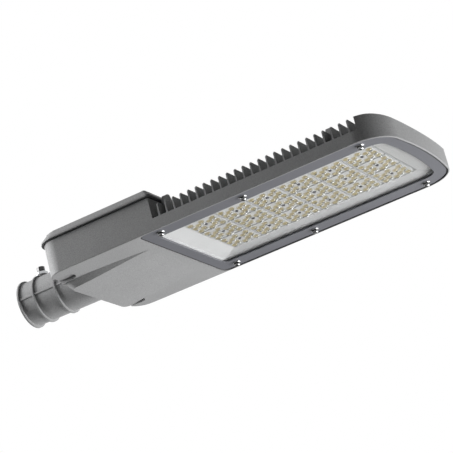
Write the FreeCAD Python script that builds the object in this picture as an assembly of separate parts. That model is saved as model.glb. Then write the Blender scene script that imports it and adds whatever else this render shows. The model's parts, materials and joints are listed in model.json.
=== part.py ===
import FreeCAD, Part
import os
from math import atan2, cos, pi, sin, sqrt

# LED street light head for the end of a pole arm, modelled closed, with its glass looking down.
# The origin is the centre of the pole socket's mouth, +X points to the nose and +Z points up. Millimetres.

# Pole socket: a plain bore in a cast sleeve with three rings, and a parting seam along each side
socket_radius = 31.0
sleeve_length = 111.5
sleeve_wall = 4.4
socket_end_wall = 9.5
ring_places = (2.2, 29.5, 69.0)
ring_width = 4.4
ring_height = 3.1
ring_draft = 0.9
sleeve_step_gap = 1.0
seam_width = 2.3
seam_height = 1.5

# Clamp screw on top of the sleeve
clamp_place = 32.0
clamp_boss_radius = 8.8
clamp_boss_rise = 3.6
clamp_thread_radius = 5.0
clamp_tip_gap = 0.5
clamp_nut_across = 17.0
clamp_nut_height = 4.2
clamp_thread_shown = 2.5
clamp_head_radius = 6.4
clamp_head_height = 6.2
clamp_key_across = 6.0
clamp_key_depth = 4.5

# Lens plates, six along the head and three across it, each with twelve low lenses
module_columns = 6
module_rows = 3
module_pitch = 52.63
plate_size = 50.0
plate_thickness = 1.8
plate_rim = 1.2
plate_pocket = 0.8
lens_pitch_x = 9.3
lens_pitch_y = 8.4
lens_radius = 4.6
lens_height = 2.6
lens_sides = 6
package_size = 3.2
package_height = 0.7

# Boards behind the plates, one for each row
board_thickness = 1.6
board_gap = 0.4
board_rear_margin = 0.5
board_front_margin = 4.15
board_side_margin = 2.0

# Reflector round the boards: a thin tray whose four sides slope from the glass up to the boards
reflector_thickness = 1.0
reflector_depth = 6.2
reflector_gap = 0.3
slope_rear = 31.0
slope_front = 28.3
slope_side = 22.4

# Glass, its seal and the frame that holds them
opening_rear_radius = 9.0
opening_corner_radius = 21.0
opening_front_radius = 640.0
glass_thickness = 3.0
glass_grip = 5.0
glass_seal_leg = 0.6
glass_seal_side = 2.0
glass_seal_lip = 3.0
frame_border_rear = 17.2
frame_border_side = 29.7
frame_border_front = 17.5
frame_thickness = 2.4
frame_rear_radius = 12.0
frame_recess = 1.2
seal_gap = 2.6
seal_play = 0.1
seal_leg = 1.0
seal_set_back = 2.0
seal_width = 9.0

# Frame screws, three on each side
frame_screw_first = 12.2
frame_screw_middle = 152.3
frame_screw_last = 32.5
frame_screw_border = 15.8
frame_screw_radius = 2.5
frame_screw_length = 12.0
frame_screw_head_radius = 4.7
frame_screw_head_height = 4.6
frame_washer_radius = 6.3
frame_washer_thickness = 1.4

# Casting: driver box, heat sink and nose in one piece
underside_drop = 23.8
rim_width = 2.3
bevel_width = 1.0
bevel_rise = 0.8
side_height = 18.6
box_length = 198.5
box_height = 51.4
box_wall = 3.5
box_floor = 4.0
box_rear_radius = 30.0
box_front_radius = 1.0
opening_under_box = 14.3
step_wall = 6.5
nose_length = 46.6
nose_height = 38.6
nose_flat = 8.0
nose_drop = 11.0
nose_corner_radius = 52.5
nose_front_radius = 662.5
base_thickness = 5.4
base_side_inset = 26.0
glass_recess_play = 1.0
chamber_border = 3.0

# Fins across the top of the heat sink
fin_start = 11.7
fin_pitch = 13.17
fin_root_thickness = 2.6
fin_tip_thickness = 1.8
fin_height = 20.2
fin_corner = 3.0
fin_nose_gap = 7.0

# Four cast feet that rise above the fins, for laying the head on its back
foot_length = 24.0
foot_width = 10.0
foot_side_taper = 2.0
foot_end_taper = 7.0
foot_rear_rise = 15.2
foot_front_rise = 8.7
foot_rear_place = 4.5
foot_front_place = 48.5
foot_rear_side = 25.6
foot_front_side = 27.6

# Keel under the driver box, from the sleeve down to nothing at the glass frame
keel_root_set_back = 2.0
keel_bottom_set_back = 9.0
keel_slope_set_back = 11.0
keel_front_gap = 14.6
keel_front_half = 76.0
keel_middle_half = 86.0
keel_rear_half = 87.0
keel_bottom_front_half = 60.0
keel_bottom_rear_half = 80.0
keel_corner_radius = 12.0
keel_flush = 0.1
keel_embed = 1.2

# Two shallow pockets beside the keel
pocket_length = 33.0
pocket_inner = 88.5
pocket_width = 26.0
pocket_depth = 4.5
pocket_floor = 4.0

# Driver box cover and its seal
cover_seal_thickness = 2.2
cover_seal_inset = 0.4
cover_land = 5.0
cover_overhang = 4.2
cover_edge = 2.5
cover_crown = 8.9
cover_thickness = 2.5
cover_slope_rear = 13.7
cover_slope_side = 4.7
cover_slope_front = 7.2
cover_top_rear_radius = 26.0
cover_top_front_radius = 4.0

# Cover screws, one near each corner
cover_screw_inset = 9.5
cover_screw_radius = 2.5
cover_screw_depth = 16.0
cover_screw_head_radius = 4.5
cover_screw_head_height = 2.8
cover_boss_radius = 6.5
cover_pillar_radius = 3.9
cover_pillar_gap = 0.3

# Cable gland through the wall between the socket and the box
gland_thread_radius = 10.0
gland_flange_across = 24.0
gland_flange_length = 6.0
gland_cap_across = 22.0
gland_cap_length = 9.0
gland_cap_nose = 4.0
gland_cap_tip_radius = 7.7
gland_bore_radius = 5.5
gland_nut_across = 24.0
gland_nut_length = 3.2
gland_nut_recess = 0.3
gland_pocket_radius = 15.0

# Things fixed to the floor of the driver box
pad_height = 5.0
screw_m4_radius = 2.0
screw_m4_head_radius = 3.8
screw_m4_head_height = 2.4
screw_m4_depth = 7.0
driver_length = 190.0
driver_width = 66.0
driver_height = 36.0
driver_front_gap = 6.0
driver_ear_length = 14.0
driver_ear_width = 26.0
driver_ear_thickness = 2.5
terminal_length = 52.0
terminal_width = 22.0
terminal_height = 18.0
terminal_ways = 3
terminal_way_radius = 2.6
terminal_lug_height = 6.0
terminal_lug_length = 9.0
terminal_lug_width = 11.0
terminal_wire_height = 6.0
terminal_screw_depth = 9.0
terminal_place = 48.0
terminal_side = 58.0
surge_length = 58.0
surge_width = 30.0
surge_height = 24.0
surge_lug_height = 4.0
surge_lug_length = 9.0
surge_lug_width = 15.0
surge_place = 48.0
surge_side = 62.0
clip_place = 40.0
clip_cable_radius = 5.0
clip_thickness = 2.5
clip_width = 10.0
clip_wing = 11.0
clip_post_margin = 1.0
clip_screw_depth = 9.0
earth_place = 68.0
earth_side = 104.0
earth_boss_radius = 6.0
earth_washer_radius = 5.0
earth_washer_thickness = 1.0

# Rubber grommet where the leads go down from the box to the boards
grommet_place = 10.4
grommet_hole_radius = 5.0
grommet_flange = 1.5
grommet_flange_thickness = 1.2
grommet_bore_radius = 2.5

# Lens plate screws
plate_screw_radius = 1.5
plate_screw_head_radius = 2.8
plate_screw_head_height = 1.5
plate_screw_depth = 4.2

# Sides of the prisms that stand for small screws, their holes and small round pieces inside
screw_sides = 6
inner_sides = 10

# Clearances
thread_play = 0.05
hole_play = 0.3

# The top of a screw's head, as a share of its foot
head_top_share = 0.75

# How far a cutting shape runs past the face that it cuts
past = 1.0

# Levels, from the sleeve's axis down to the rim and back up through the light
sleeve_radius = socket_radius + sleeve_wall
underside = -underside_drop
bevel_top = underside + bevel_rise
frame_face = underside + frame_recess
frame_back = frame_face + frame_thickness
frame_seat = frame_back + seal_leg
glass_low = frame_back + glass_seal_leg
glass_top = glass_low + glass_thickness
lens_plane = glass_top + reflector_depth
board_low = lens_plane + plate_thickness
base_low = board_low + board_thickness
base_top = base_low + base_thickness
side_top = underside + side_height
fin_top = side_top + fin_height
nose_top = underside + nose_height
floor_top = underside + box_floor
box_top = underside + box_height
cover_low = box_top + cover_seal_thickness
cover_edge_top = cover_low + cover_edge
cover_top = cover_edge_top + cover_crown
clamp_boss_top = sleeve_radius + clamp_boss_rise
clamp_nut_top = clamp_boss_top + clamp_nut_height
clamp_head_low = clamp_nut_top + clamp_thread_shown

# Places along the head
box_rear = sleeve_length
box_front = box_rear + box_length
opening_rear = box_front - opening_under_box
frame_rear = opening_rear - frame_border_rear
board_rear = opening_rear + slope_rear
first_module = board_rear + board_rear_margin + plate_size / 2
last_module = first_module + (module_columns - 1) * module_pitch
board_front = last_module + plate_size / 2 + board_front_margin
opening_apex = board_front + slope_front
frame_apex = opening_apex + frame_border_front
nose_apex = frame_apex + seal_gap + rim_width
nose_rear = nose_apex - nose_length
step_front = frame_rear - step_wall
keel_root_rear = box_rear + keel_root_set_back
keel_bottom_rear = box_rear + keel_bottom_set_back
keel_slope_rear = box_rear + keel_slope_set_back
keel_front = frame_rear - keel_front_gap
socket_depth = sleeve_length - socket_end_wall
box_inner_rear = box_rear + box_wall
sleeve_step = box_rear - cover_overhang - sleeve_step_gap
first_fin = box_front + fin_start
fin_count = int((nose_rear - fin_nose_gap - first_fin) / fin_pitch) + 1

# Places across the head
board_half = (module_rows - 1) / 2 * module_pitch + plate_size / 2 + board_side_margin
opening_half = board_half + slope_side
frame_half = opening_half + frame_border_side
half_width = frame_half + seal_gap + rim_width
frame_screw_side = opening_half + frame_screw_border


def block(x0, x1, y0, y1, z0, z1):
    return Part.makeBox(x1 - x0, y1 - y0, z1 - z0, FreeCAD.Vector(x0, y0, z0))


def rod(radius, z0, z1, x, y):
    return Part.makeCylinder(radius, z1 - z0, FreeCAD.Vector(x, y, z0))


def rod_along_x(radius, x0, x1, y, z):
    return Part.makeCylinder(radius, x1 - x0, FreeCAD.Vector(x0, y, z), FreeCAD.Vector(1, 0, 0))


def corners(radius, sides, x, y, z):
    """The corners of a level polygon, the first one half a step round from +X."""
    step = 2 * pi / sides
    return [FreeCAD.Vector(x + radius * cos((k + 0.5) * step), y + radius * sin((k + 0.5) * step), z)
            for k in range(sides)]


def flat_face(points):
    return Part.Face(Part.makePolygon(points + points[:1]))


def taper(low, high):
    """A solid with flat sides between two like polygons, each a list of corners."""
    count = len(low)
    faces = [flat_face(low), flat_face(high)]
    for k in range(count):
        faces.append(flat_face([low[k], low[(k + 1) % count], high[(k + 1) % count], high[k]]))
    solid = Part.makeSolid(Part.makeShell(faces))
    if solid.Volume < 0:
        solid.reverse()
    return solid


def bar(radius, z0, z1, x, y, sides=screw_sides):
    """A small upright bar or hole with flat sides."""
    return flat_face(corners(radius, sides, x, y, z0)).extrude(FreeCAD.Vector(0, 0, z1 - z0))


def laid_down(shape):
    """The same shape, turned so that what pointed up points along +X."""
    turned = shape.copy()
    turned.rotate(FreeCAD.Vector(0, 0, 0), FreeCAD.Vector(0, 1, 0), 90)
    return turned


def bar_along_x(radius, x0, x1, y, z, sides=inner_sides):
    lying = laid_down(bar(radius, x0, x1, 0, 0, sides))
    lying.translate(FreeCAD.Vector(0, y, z))
    return lying


def hexagon(across, z0, z1, x, y):
    return bar(across / 2 / cos(pi / 6), z0, z1, x, y, 6)


def arc(centre_x, centre_y, radius, start, end, z):
    """An arc in plan from one angle to another, in radians."""
    angles = (start, (start + end) / 2, end)
    points = [FreeCAD.Vector(centre_x + radius * cos(a), centre_y + radius * sin(a), z) for a in angles]
    return Part.Arc(*points).toShape()


def line(x0, y0, x1, y1, z):
    return Part.makeLine(FreeCAD.Vector(x0, y0, z), FreeCAD.Vector(x1, y1, z))


def closed(wire_edges):
    return Part.Wire(wire_edges)


def nose_outline(rear, half, rear_radius, apex, corner_radius, front_radius, z):
    """A plan outline with straight sides, rounded rear corners and a nose of one wide arc and two corner arcs."""
    side_centre = half - corner_radius
    front_centre = apex - front_radius
    corner_centre = front_centre + sqrt((front_radius - corner_radius) ** 2 - side_centre ** 2)
    turn = atan2(side_centre, corner_centre - front_centre)
    rear_centre = rear + rear_radius
    rear_side = half - rear_radius
    return closed([
        line(rear_centre, -half, corner_centre, -half, z),
        arc(corner_centre, -side_centre, corner_radius, -pi / 2, -turn, z),
        arc(front_centre, 0, front_radius, -turn, turn, z),
        arc(corner_centre, side_centre, corner_radius, turn, pi / 2, z),
        line(corner_centre, half, rear_centre, half, z),
        arc(rear_centre, rear_side, rear_radius, pi / 2, pi, z),
        line(rear, rear_side, rear, -rear_side, z),
        arc(rear_centre, -rear_side, rear_radius, pi, 3 * pi / 2, z),
    ])


def box_outline(rear, front, half, rear_radius, front_radius, z):
    """A rounded rectangle in plan whose rear and front corners have radii of their own."""
    rear_centre = rear + rear_radius
    rear_side = half - rear_radius
    front_centre = front - front_radius
    front_side = half - front_radius
    return closed([
        line(rear_centre, -half, front_centre, -half, z),
        arc(front_centre, -front_side, front_radius, -pi / 2, 0, z),
        line(front, -front_side, front, front_side, z),
        arc(front_centre, front_side, front_radius, 0, pi / 2, z),
        line(front_centre, half, rear_centre, half, z),
        arc(rear_centre, rear_side, rear_radius, pi / 2, pi, z),
        line(rear, rear_side, rear, -rear_side, z),
        arc(rear_centre, -rear_side, rear_radius, pi, 3 * pi / 2, z),
    ])


def casting_outline(inset, z):
    """The whole head seen from above, moved inwards by an inset."""
    return nose_outline(box_rear + inset, half_width - inset, box_rear_radius - inset,
                        nose_apex - inset, nose_corner_radius - inset, nose_front_radius - inset, z)


def frame_outline(outset, z):
    """The outer edge of the glass frame, moved outwards."""
    inset = rim_width + seal_gap - outset
    return nose_outline(frame_rear - outset, half_width - inset, frame_rear_radius + outset,
                        nose_apex - inset, nose_corner_radius - inset, nose_front_radius - inset, z)


def opening_outline(outset, z):
    """The opening of the glass frame, moved outwards."""
    return nose_outline(opening_rear - outset, opening_half + outset, opening_rear_radius + outset,
                        opening_apex + outset, opening_corner_radius + outset, opening_front_radius + outset, z)


def driver_box_outline(inset, z):
    """The driver box seen from above, moved inwards."""
    front_radius = max(box_front_radius, box_front_radius - inset)
    return box_outline(box_rear + inset, box_front - inset, half_width - inset, box_rear_radius - inset,
                       front_radius, z)


def prism(outline, height):
    return Part.Face(outline).extrude(FreeCAD.Vector(0, 0, height))


def between(lower, upper):
    """A solid with straight sides between two outlines at different levels."""
    return Part.makeLoft([lower, upper], True, True)


def fused(pieces):
    return pieces[0].multiFuse(pieces[1:]).removeSplitter()


def mirrored(shape):
    """The same shape on the other side of the head."""
    return shape.mirror(FreeCAD.Vector(0, 0, 0), FreeCAD.Vector(0, 1, 0))


def module_places():
    """The centre of each lens plate, with its column and row counted from one."""
    for column in range(module_columns):
        for row in range(module_rows):
            x = first_module + column * module_pitch
            y = (row - (module_rows - 1) / 2) * module_pitch
            yield column + 1, row + 1, x, y


def lens_places():
    """The twelve lenses of a plate from its centre: columns of three, two, two, two and three."""
    for column in (-2, 2):
        for row in (-2, 0, 2):
            yield column * lens_pitch_x, row * lens_pitch_y
    for column in (-1, 1):
        for row in (-1, 1):
            yield column * lens_pitch_x, row * lens_pitch_y
    for row in (-2, 2):
        yield 0.0, row * lens_pitch_y


def frame_screw_places():
    for x in (opening_rear + frame_screw_first, opening_rear + frame_screw_middle, opening_apex - frame_screw_last):
        for side in (-1, 1):
            yield x, side * frame_screw_side


def cover_screw_places():
    """Near the front corners, and on the middle of each rounded rear corner."""
    reach = (box_rear_radius - cover_screw_inset) * cos(pi / 4)
    for side in (-1, 1):
        yield box_front - cover_screw_inset, side * (half_width - cover_screw_inset)
        yield box_rear + box_rear_radius - reach, side * (half_width - box_rear_radius + reach)


def driver_screw_places():
    middle = step_front - driver_front_gap - driver_width / 2
    for side in (-1, 1):
        yield middle, side * (driver_length / 2 + driver_ear_length / 2)


def terminal_screw_places():
    for end in (-1, 1):
        yield (box_rear + terminal_place,
               -terminal_side + end * (terminal_length / 2 - terminal_lug_length / 2))


def surge_screw_places():
    for end in (-1, 1):
        yield box_rear + surge_place, surge_side + end * (surge_length / 2 - surge_lug_length / 2)


def clip_screw_places():
    for side in (-1, 1):
        yield box_rear + clip_place, side * (clip_cable_radius + clip_thickness + clip_wing / 2)


def ring_section(place):
    """One sleeve ring cut through its middle: a bead with drafted sides."""
    left = place - ring_width / 2
    right = place + ring_width / 2
    crown = sleeve_radius + ring_height
    inside = sleeve_radius - sleeve_wall / 2
    return flat_face([
        FreeCAD.Vector(left, 0, inside), FreeCAD.Vector(left, 0, sleeve_radius),
        FreeCAD.Vector(left + ring_draft, 0, crown), FreeCAD.Vector(right - ring_draft, 0, crown),
        FreeCAD.Vector(right, 0, sleeve_radius), FreeCAD.Vector(right, 0, inside)])


def sleeve():
    """The sleeve with its rings, seams and clamp boss, still without the bore. Its top steps down under the cover."""
    end = keel_slope_rear + past
    reach = 2 * sleeve_radius
    barrel = rod_along_x(sleeve_radius, 0, end, 0, 0)
    pieces = [barrel.cut(block(sleeve_step, end + past, -reach, reach, box_top, reach))]
    for place in ring_places:
        pieces.append(ring_section(place).revolve(FreeCAD.Vector(0, 0, 0), FreeCAD.Vector(1, 0, 0), 360))
    seam_reach = sleeve_radius + seam_height
    for side in (-1, 1):
        low, high = sorted((side * (sleeve_radius - sleeve_wall / 2), side * seam_reach))
        pieces.append(block(ring_places[0], box_rear + box_wall / 2, low, high, -seam_width / 2, seam_width / 2))
    pieces.append(rod(clamp_boss_radius, socket_radius + sleeve_wall / 2, clamp_boss_top, clamp_place, 0))
    return pieces


def keel_outline(rear, front_half, middle_half, rear_half, z):
    """The keel in plan: a curve along each side, and rounded rear corners."""
    front = keel_front + past
    middle = (keel_front + keel_slope_rear) / 2
    inner = rear_half - keel_corner_radius
    centre = rear + keel_corner_radius
    near = Part.Arc(FreeCAD.Vector(centre, -rear_half, z), FreeCAD.Vector(middle, -middle_half, z),
                    FreeCAD.Vector(front, -front_half, z))
    far = Part.Arc(FreeCAD.Vector(front, front_half, z), FreeCAD.Vector(middle, middle_half, z),
                   FreeCAD.Vector(centre, rear_half, z))
    return closed([
        near.toShape(),
        line(front, -front_half, front, front_half, z),
        far.toShape(),
        arc(centre, inner, keel_corner_radius, pi / 2, pi, z),
        line(rear, inner, rear, -inner, z),
        arc(centre, -inner, keel_corner_radius, pi, 3 * pi / 2, z),
    ])


def keel():
    """The keel: its sides lean in from a curved root, and a sloping plane takes its depth away to the front."""
    bottom = -(sleeve_radius + keel_flush)
    root = underside
    slope_run = keel_front - keel_slope_rear
    depth = root - bottom
    bottom_middle = (keel_bottom_front_half + keel_bottom_rear_half) / 2 + keel_flush
    body = between(keel_outline(keel_bottom_rear, keel_bottom_front_half, bottom_middle, keel_bottom_rear_half, bottom),
                   keel_outline(keel_root_rear, keel_front_half, keel_middle_half, keel_rear_half, root))
    reach = 2 * keel_rear_half
    run = slope_run + past
    below = flat_face([
        FreeCAD.Vector(keel_slope_rear, -reach, bottom),
        FreeCAD.Vector(keel_slope_rear + run, -reach, bottom + depth / slope_run * run),
        FreeCAD.Vector(keel_slope_rear + run, -reach, bottom - depth),
        FreeCAD.Vector(keel_slope_rear, -reach, bottom - depth),
    ])
    body = body.cut(below.extrude(FreeCAD.Vector(0, 2 * reach, 0)))
    top = prism(keel_outline(keel_root_rear, keel_front_half, keel_middle_half, keel_rear_half, root), keel_embed)
    return [body, top]


def nose():
    """The closed end beyond the fins: flat for a little, then one arc down to the front edge."""
    arc_start = nose_rear + nose_flat
    run = nose_apex - arc_start
    radius = (run ** 2 + nose_drop ** 2) / (2 * nose_drop)
    half_turn = atan2(run, radius - nose_drop) / 2
    middle = FreeCAD.Vector(arc_start + radius * sin(half_turn), 0, nose_top - radius * (1 - cos(half_turn)))
    start = FreeCAD.Vector(arc_start, 0, nose_top)
    end = FreeCAD.Vector(nose_apex, 0, nose_top - nose_drop)
    corners = [FreeCAD.Vector(nose_apex, 0, bevel_top), FreeCAD.Vector(nose_rear, 0, bevel_top),
               FreeCAD.Vector(nose_rear, 0, nose_top)]
    sides = [Part.makeLine(corners[2], start), Part.Arc(start, middle, end).toShape(),
             Part.makeLine(end, corners[0]), Part.makeLine(corners[0], corners[1]),
             Part.makeLine(corners[1], corners[2])]
    across = Part.Face(closed(sides)).extrude(FreeCAD.Vector(0, 2 * half_width, 0))
    across.translate(FreeCAD.Vector(0, -half_width, 0))
    return prism(casting_outline(0, bevel_top), nose_height).common(across)


def fins():
    """Fins that thin towards their tips, all cut to one envelope with sloping shoulders."""
    sections = []
    foot_level = (side_top + base_low) / 2
    root = fin_root_thickness / 2
    tip = fin_tip_thickness / 2
    for number in range(fin_count):
        x = first_fin + number * fin_pitch
        section = flat_face([
            FreeCAD.Vector(x - root, -half_width, foot_level), FreeCAD.Vector(x + root, -half_width, foot_level),
            FreeCAD.Vector(x + root, -half_width, side_top), FreeCAD.Vector(x + tip, -half_width, fin_top),
            FreeCAD.Vector(x - tip, -half_width, fin_top), FreeCAD.Vector(x - root, -half_width, side_top)])
        sections.append(section.extrude(FreeCAD.Vector(0, 2 * half_width, 0)))
    shoulder = half_width - fin_corner
    envelope = flat_face([
        FreeCAD.Vector(box_front, -half_width, foot_level), FreeCAD.Vector(box_front, half_width, foot_level),
        FreeCAD.Vector(box_front, half_width, fin_top - fin_corner), FreeCAD.Vector(box_front, shoulder, fin_top),
        FreeCAD.Vector(box_front, -shoulder, fin_top), FreeCAD.Vector(box_front, -half_width, fin_top - fin_corner)])
    envelope = envelope.extrude(FreeCAD.Vector(nose_apex - box_front, 0, 0))
    return [section.common(envelope) for section in sections]


def foot(x, y, rise):
    """A cast foot: a post with steep sides and ends that slope more."""
    def level(side_inset, end_inset, z):
        across = foot_width / 2 - side_inset
        along = foot_length / 2 - end_inset
        return [FreeCAD.Vector(x - along, y - across, z), FreeCAD.Vector(x + along, y - across, z),
                FreeCAD.Vector(x + along, y + across, z), FreeCAD.Vector(x - along, y + across, z)]
    return taper(level(0, 0, base_low + base_thickness / 2), level(foot_side_taper, foot_end_taper, fin_top + rise))


def feet():
    pieces = []
    for side in (-1, 1):
        pieces.append(foot(first_fin + foot_rear_place, side * (half_width - foot_rear_side), foot_rear_rise))
        pieces.append(foot(nose_rear - foot_front_place, side * (half_width - foot_front_side), foot_front_rise))
    return pieces


def box_hollow():
    """The inside of the driver box, less the bosses and pads that stand in it."""
    upper = prism(driver_box_outline(box_wall, base_top), box_top - base_top + past)
    low_front = step_front - box_wall
    lower = prism(driver_box_outline(box_wall, floor_top), base_top - floor_top + past)
    lower = lower.common(block(box_rear, low_front, -half_width, half_width, floor_top, base_top + past))
    hollow = upper.fuse(lower)
    for x, y in cover_screw_places():
        hollow = hollow.cut(bar(cover_boss_radius, floor_top - past, box_top, x, y, inner_sides))
    return hollow.cut(fused(box_pads()))


def box_pads():
    """Pads and posts on the floor of the driver box, one for each thing that is screwed down."""
    low = floor_top - past
    top = floor_top + pad_height
    pieces = []
    for x, y in driver_screw_places():
        inner = abs(y) - driver_ear_length
        outer = abs(y) + driver_ear_length / 2
        y0, y1 = sorted((inner * y / abs(y), outer * y / abs(y)))
        pieces.append(block(x - driver_ear_width / 2, x + driver_ear_width / 2, y0, y1, low, top))
    x = box_rear + terminal_place
    pieces.append(block(x - terminal_width / 2, x + terminal_width / 2, -terminal_side - terminal_length / 2,
                        -terminal_side + terminal_length / 2, low, top))
    x = box_rear + surge_place
    pieces.append(block(x - surge_width / 2, x + surge_width / 2, surge_side - surge_length / 2,
                        surge_side + surge_length / 2, low, top))
    x = box_rear + clip_place
    half = clip_cable_radius + clip_thickness + clip_wing + clip_post_margin
    pieces.append(block(x - clip_width / 2 - clip_post_margin, x + clip_width / 2 + clip_post_margin, -half, half,
                        low, -clip_cable_radius))
    pieces.append(bar(earth_boss_radius, low, top, box_rear + earth_place, -earth_side, inner_sides))
    for side in (-1, 1):
        centre = side * (pocket_inner + pocket_width / 2)
        half = pocket_width / 2 + pocket_floor
        pieces.append(block(box_rear, box_rear + pocket_length + pocket_floor, centre - half, centre + half, low,
                            underside + pocket_depth + pocket_floor))
    return pieces


def pocket():
    """One shallow pocket beside the keel, open at the rear, with a round front end."""
    centre = pocket_inner + pocket_width / 2
    radius = pocket_width / 2
    straight = pocket_length - radius
    low = underside - past
    top = underside + pocket_depth
    return fused([block(box_rear - past, box_rear + straight, centre - radius, centre + radius, low, top),
                  rod(radius, low, top, box_rear + straight, centre)])


def light_hollow():
    """The recess for the frame, the step for the glass and the chamber for the boards, from the rim upwards."""
    recess = prism(frame_outline(seal_gap, underside - past), frame_seat - underside + past)
    glass_border = glass_grip + glass_seal_side + glass_recess_play
    step = prism(opening_outline(glass_border, frame_seat - past), glass_top - frame_seat + past)
    chamber = prism(opening_outline(chamber_border, glass_top - past), base_low - glass_top + past)
    return fused([recess, step, chamber])


def tapped(radius, z0, z1, x, y):
    return bar(radius + thread_play, z0, z1, x, y)


def housing():
    """The whole casting."""
    side = prism(casting_outline(0, bevel_top), side_top - bevel_top)
    bevel = between(casting_outline(bevel_width, underside), casting_outline(0, bevel_top))
    box = prism(driver_box_outline(0, bevel_top), box_top - bevel_top)
    base_half = half_width - base_side_inset
    base = block(box_front - box_wall, nose_rear + past, -base_half, base_half, base_low, base_top)
    body = fused([side, bevel, box, base, nose()] + keel() + sleeve() + fins() + feet())
    cuts = [box_hollow(), light_hollow(), pocket(), mirrored(pocket())]
    cuts.append(rod_along_x(socket_radius, -past, socket_depth, 0, 0))
    cuts.append(bar_along_x(gland_pocket_radius, socket_depth - past, gland_seat(), 0, 0))
    cuts.append(bar_along_x(gland_thread_radius + thread_play, socket_depth - past, box_inner_rear + past, 0, 0))
    cuts.append(bar(clamp_thread_radius + thread_play, 0, clamp_boss_top + past, clamp_place, 0, inner_sides))
    cuts.append(bar(grommet_hole_radius, base_low - past, base_top + past, box_front - grommet_place, 0,
                    inner_sides))
    for x, y in frame_screw_places():
        cuts.append(tapped(frame_screw_radius, frame_seat - past, frame_screw_end() + hole_play, x, y))
    for _, _, x, y in module_places():
        cuts.append(tapped(plate_screw_radius, base_low - past, base_low + plate_screw_depth + hole_play, x, y))
    for x, y in cover_screw_places():
        cuts.append(tapped(cover_screw_radius, box_top - cover_screw_depth - hole_play, box_top + past, x, y))
    top = floor_top + pad_height
    for x, y in list(driver_screw_places()) + list(terminal_screw_places()) + list(surge_screw_places()):
        cuts.append(tapped(screw_m4_radius, top - screw_m4_depth - hole_play, top + past, x, y))
    for x, y in clip_screw_places():
        cuts.append(tapped(screw_m4_radius, -clip_cable_radius - clip_screw_depth - hole_play,
                           -clip_cable_radius + past, x, y))
    cuts.append(tapped(screw_m4_radius, top - screw_m4_depth - hole_play, top + past, box_rear + earth_place,
                       -earth_side))
    return body.cut(cuts).removeSplitter()


def gland_seat():
    """Where the gland's lock nut bears, inside its pocket at the end of the socket."""
    return socket_depth + gland_nut_recess + gland_nut_length


def frame_screw_end():
    return frame_face - frame_washer_thickness + frame_screw_length


def driver_cover():
    """A shallow tray with a square edge, sloping sides and four pillars for its screws."""
    low = box_outline(box_rear - cover_overhang, box_front + cover_overhang, half_width + cover_overhang,
                      box_rear_radius + cover_overhang, box_front_radius + cover_overhang, cover_low)
    shoulder = low.copy()
    shoulder.translate(FreeCAD.Vector(0, 0, cover_edge))
    rear = box_rear - cover_overhang + cover_slope_rear
    front = box_front + cover_overhang - cover_slope_front
    half = half_width + cover_overhang - cover_slope_side
    top = box_outline(rear, front, half, cover_top_rear_radius, cover_top_front_radius, cover_top)
    crown = between(shoulder, top)
    inner_top = box_outline(rear + cover_thickness, front - cover_thickness, half - cover_thickness,
                            cover_top_rear_radius - cover_thickness, cover_top_front_radius - cover_thickness,
                            cover_top - cover_thickness)
    hollow = between(driver_box_outline(cover_land, cover_low), inner_top)
    tray = prism(low, cover_edge).fuse(crown).cut(hollow)
    pillars = []
    holes = []
    for x, y in cover_screw_places():
        pillars.append(bar(cover_pillar_radius, box_top + cover_pillar_gap, cover_top - cover_thickness / 2, x, y))
        holes.append(bar(cover_screw_radius + hole_play, box_top, cover_top + past, x, y))
    return fused([tray] + pillars).cut(holes)


def cover_gasket():
    outer = prism(driver_box_outline(cover_seal_inset, box_top), cover_seal_thickness)
    return outer.cut(prism(driver_box_outline(cover_land, box_top), cover_seal_thickness))


def headed_screw(x, y, seat, radius, tip, head_radius, head_height):
    """A screw driven downwards, with a head that narrows to its top."""
    head = taper(corners(head_radius, screw_sides, x, y, seat),
                 corners(head_radius * head_top_share, screw_sides, x, y, seat + head_height))
    return fused([bar(radius, tip, seat, x, y), head])


def turned_over(shape, level):
    """The same shape, facing down from a level instead of up."""
    return shape.mirror(FreeCAD.Vector(0, 0, level), FreeCAD.Vector(0, 0, 1))


def cover_screws():
    return [headed_screw(x, y, cover_top, cover_screw_radius, box_top - cover_screw_depth,
                             cover_screw_head_radius, cover_screw_head_height)
            for x, y in cover_screw_places()]


def pole_clamp_screw():
    """A set screw with a plain round head and a hexagon socket in it."""
    top = clamp_head_low + clamp_head_height
    shank = bar(clamp_thread_radius, socket_radius + clamp_tip_gap, clamp_head_low, clamp_place, 0, inner_sides)
    head = bar(clamp_head_radius, clamp_head_low, top, clamp_place, 0, inner_sides)
    head = head.cut(hexagon(clamp_key_across, top - clamp_key_depth, top + past, clamp_place, 0))
    return fused([shank, head])


def clamp_lock_nut():
    nut = hexagon(clamp_nut_across, clamp_boss_top, clamp_nut_top, clamp_place, 0)
    return nut.cut(bar(clamp_thread_radius + thread_play, clamp_boss_top - past, clamp_nut_top + past,
                       clamp_place, 0, inner_sides))


def frame():
    """The glass frame: one flat ring with six screw holes."""
    ring = prism(frame_outline(0, frame_face), frame_thickness)
    ring = ring.cut(prism(opening_outline(0, frame_face), frame_thickness))
    return ring.cut([bar(frame_screw_radius + hole_play, frame_face - past, frame_back + past, x, y)
                     for x, y in frame_screw_places()])


def frame_gasket():
    """The seal behind the frame, with a lip that fills the gap between frame and rim."""
    flat = prism(frame_outline(seal_gap - seal_play, frame_back), seal_leg)
    lip_low = underside + seal_set_back
    lip = prism(frame_outline(seal_gap - seal_play, lip_low), frame_seat - lip_low)
    lip = lip.cut(prism(frame_outline(seal_play, lip_low - past), frame_seat - lip_low + 2 * past))
    seal = fused([flat, lip])
    return seal.cut(prism(frame_outline(-seal_width, frame_back - past), seal_leg + 2 * past))


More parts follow.
